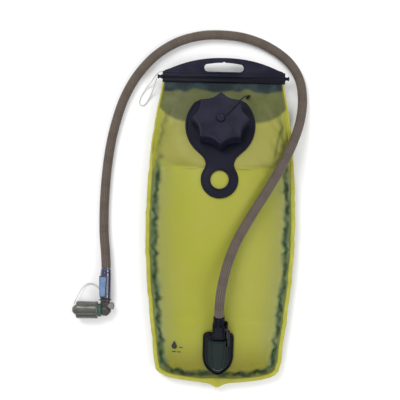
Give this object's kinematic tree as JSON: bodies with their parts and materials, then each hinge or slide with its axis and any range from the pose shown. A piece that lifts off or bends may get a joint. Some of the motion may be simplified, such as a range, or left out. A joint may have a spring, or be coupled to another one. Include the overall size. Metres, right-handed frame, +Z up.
{
  "type": "hydration bladder",
  "caption": "Soft drinking-water reservoir with a slide closure, screw-cap filler with finger ring, quick-release outlet and a sleeved hose with a covered bite valve.",
  "frame": {"origin": "middle of the bladder's box, on the surface that its back rests on", "axes": "+Z up out of the front film, +Y towards the handle, +X to the right as seen from the front"},
  "size_m": [0.2973, 0.461, 0.0842],
  "materials": {
    "film": "translucent yellow-green film, satin",
    "navy_plastic": "moulded, semi-matte",
    "dark_soft_plastic": "soft moulded plate, matte",
    "black_rubber": "moulded rubber",
    "grey_string": "thin braided string",
    "black_cord": "thin braided cord",
    "green_black_plastic": "moulded, glossy rim",
    "glossy_navy": "moulded, glossy",
    "blue_plastic": "moulded, satin",
    "steel": "drawn wire",
    "hose_sleeve": "woven sleeve",
    "grey_plastic": "moulded, ribbed",
    "teal_plastic": "moulded",
    "pale_silicone": "translucent silicone",
    "olive_plastic": "moulded, smoky"
  },
  "bodies": {
    "root": {"film_front": "film", "film_back": "film", "closure_rod": "navy_plastic", "slider_tether": "grey_string", "filler_neck": "dark_soft_plastic", "grip_plate": "dark_soft_plastic", "leash_tag": "black_rubber", "outlet_port": "green_black_plastic", "outlet_button_spring": "steel", "valve_socket": "glossy_navy", "valve_button_spring": "steel"},
    "slider": {"slide_closure": "navy_plastic"},
    "leash_swivel": {"leash_stud": "navy_plastic", "cap_leash": "black_cord"},
    "cap": {"screw_cap": "navy_plastic", "cap_gasket": "black_rubber"},
    "outlet_release": {"outlet_button": "navy_plastic"},
    "hose_end": {"hose_plug": "glossy_navy", "plug_o_ring": "black_rubber", "hose": "hose_sleeve"},
    "valve_release": {"valve_button": "blue_plastic"},
    "valve_coupling": {"valve_plug": "grey_plastic", "valve_o_ring": "black_rubber"},
    "elbow_swivel": {"elbow": "grey_plastic", "hub_pin": "black_rubber", "tether_ring": "grey_plastic"},
    "mouthpiece": {"valve_collar": "teal_plastic", "bite_valve": "pale_silicone"},
    "cover": {"dust_cover": "olive_plastic", "cover_tip": "olive_plastic", "cover_tether": "grey_string"}
  },
  "joints": [
    {"name": "slider_slide", "type": "slide", "parent": "root", "child": "slider", "axis": [1, 0, 0], "range_m": [0, 0.09]},
    {"name": "cap_lift", "type": "slide", "parent": "root", "child": "leash_swivel", "axis": [0, 0.342, 0.9397], "range_m": [0, 0.0121]},
    {"name": "cap_turn", "type": "hinge", "parent": "leash_swivel", "child": "cap", "pos_m": [-0.003, 0.1241, 0.0346], "axis": [0, 0.342, 0.9397], "range_deg": [0, 720]},
    {"name": "outlet_button_press", "type": "slide", "parent": "root", "child": "outlet_release", "axis": [-1, 0, 0], "range_m": [0, 0.0011], "stiffness_N_per_m": 800, "springref_m": -0.0008, "deforming": ["outlet_button_spring"]},
    {"name": "hose_plug_pull", "type": "slide", "parent": "root", "child": "hose_end", "axis": [0, 0.9153, 0.4027], "range_m": [0, 0.018], "deforming": ["hose"]},
    {"name": "valve_button_press", "type": "slide", "parent": "root", "child": "valve_release", "axis": [0.309, 0, -0.9511], "range_m": [0, 0.0014], "stiffness_N_per_m": 800, "springref_m": -0.0008, "deforming": ["valve_button_spring"]},
    {"name": "valve_plug_pull", "type": "slide", "parent": "root", "child": "valve_coupling", "axis": [0, -1, 0], "range_m": [0, 0.018]},
    {"name": "elbow_turn", "type": "hinge", "parent": "valve_coupling", "child": "elbow_swivel", "pos_m": [-0.1462, -0.105, 0.0116], "axis": [0, 1, 0], "range_deg": [0, 150]},
    {"name": "valve_twist", "type": "hinge", "parent": "elbow_swivel", "child": "mouthpiece", "pos_m": [-0.1462, -0.1157, 0.0116], "axis": [1, 0, 0], "range_deg": [0, 90]},
    {"name": "cover_pull", "type": "slide", "parent": "elbow_swivel", "child": "cover", "axis": [-1, 0, 0], "range_m": [0, 0.027]}
  ],
  "couplings": [
    {"joint": "cap_lift", "follows": "cap_turn", "m_per_rad": 0.00095493}
  ]
}
